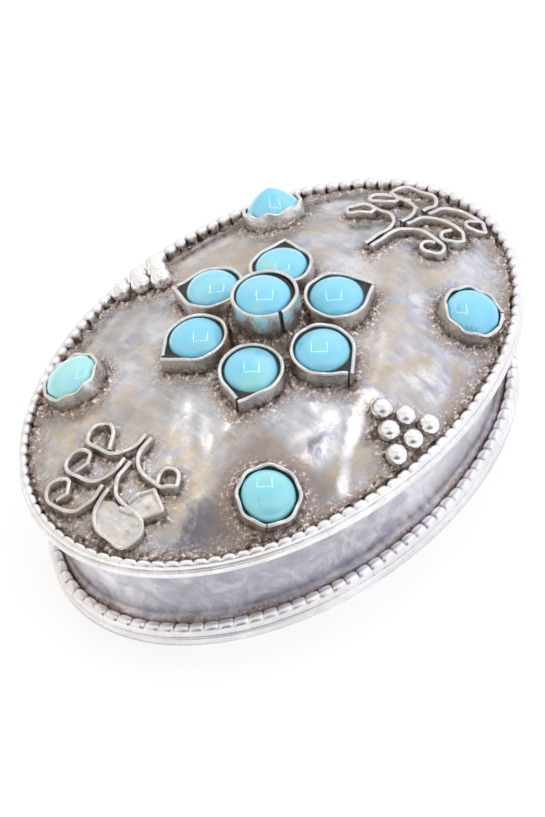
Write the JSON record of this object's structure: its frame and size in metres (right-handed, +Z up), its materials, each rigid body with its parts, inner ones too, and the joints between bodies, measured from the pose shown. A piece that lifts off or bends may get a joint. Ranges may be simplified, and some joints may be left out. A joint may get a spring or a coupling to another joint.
{
  "type": "trinket box",
  "caption": "Small oval silver trinket box with a domed lift-off lid, beaded edges, a flower of turquoise cabochons, corner stones, grain clusters and ribbon-wire palmettes.",
  "frame": {"origin": "on the resting face, under the middle of the box", "axes": "+X along the box's length, +Y across it towards the back, +Z up, the way the lid lifts"},
  "size_m": [0.055, 0.0387, 0.0217],
  "materials": {
    "sheet_silver": "worn sheet silver with grey and brown tarnish",
    "beaded_silver": "beaded wire, bright on the crests and dark between the beads",
    "bezel_silver": "silver strip, bright on its edges",
    "turquoise": "polished turquoise, some stones greener with fine dark veins",
    "setting_cement": "dark grey-brown setting cement"
  },
  "bodies": {
    "base": {"base_plate": "sheet_silver", "side_wall": "sheet_silver", "base_beaded_wire": "beaded_silver"},
    "lid": {"lid_rim_plate": "sheet_silver", "lid_collar": "sheet_silver", "lid_dome": "sheet_silver", "lid_beaded_wire": "beaded_silver", "centre_bezel": "bezel_silver", "centre_cement": "setting_cement", "centre_stone": "turquoise", "front_grains": "beaded_silver", "back_grains": "beaded_silver", "petal_bezel_1": "bezel_silver", "petal_cement_1": "setting_cement", "petal_stone_1": "turquoise", "petal_bezel_2": "bezel_silver", "petal_cement_2": "setting_cement", "petal_stone_2": "turquoise", "petal_bezel_3": "bezel_silver", "petal_cement_3": "setting_cement", "petal_stone_3": "turquoise", "petal_bezel_4": "bezel_silver", "petal_cement_4": "setting_cement", "petal_stone_4": "turquoise", "petal_bezel_5": "bezel_silver", "petal_cement_5": "setting_cement", "petal_stone_5": "turquoise", "petal_bezel_6": "bezel_silver", "petal_cement_6": "setting_cement", "petal_stone_6": "turquoise", "corner_bezel_1": "bezel_silver", "corner_cement_1": "setting_cement", "corner_stone_1": "turquoise", "corner_bezel_2": "bezel_silver", "corner_cement_2": "setting_cement", "corner_stone_2": "turquoise", "corner_bezel_3": "bezel_silver", "corner_cement_3": "setting_cement", "corner_stone_3": "turquoise", "corner_bezel_4": "bezel_silver", "corner_cement_4": "setting_cement", "corner_stone_4": "turquoise", "left_back_scroll_1": "bezel_silver", "left_back_scroll_2": "bezel_silver", "left_back_scroll_3": "bezel_silver", "left_front_scroll_1": "bezel_silver", "left_front_scroll_2": "bezel_silver", "left_front_scroll_3": "bezel_silver", "right_back_scroll_1": "bezel_silver", "right_back_scroll_2": "bezel_silver", "right_back_scroll_3": "bezel_silver", "right_front_scroll_1": "bezel_silver", "right_front_scroll_2": "bezel_silver", "right_front_scroll_3": "bezel_silver"}
  },
  "joints": [
    {"name": "lid_lift", "type": "slide", "parent": "base", "child": "lid", "axis": [0, 0, 1], "range_m": [0, 0.03]}
  ]
}
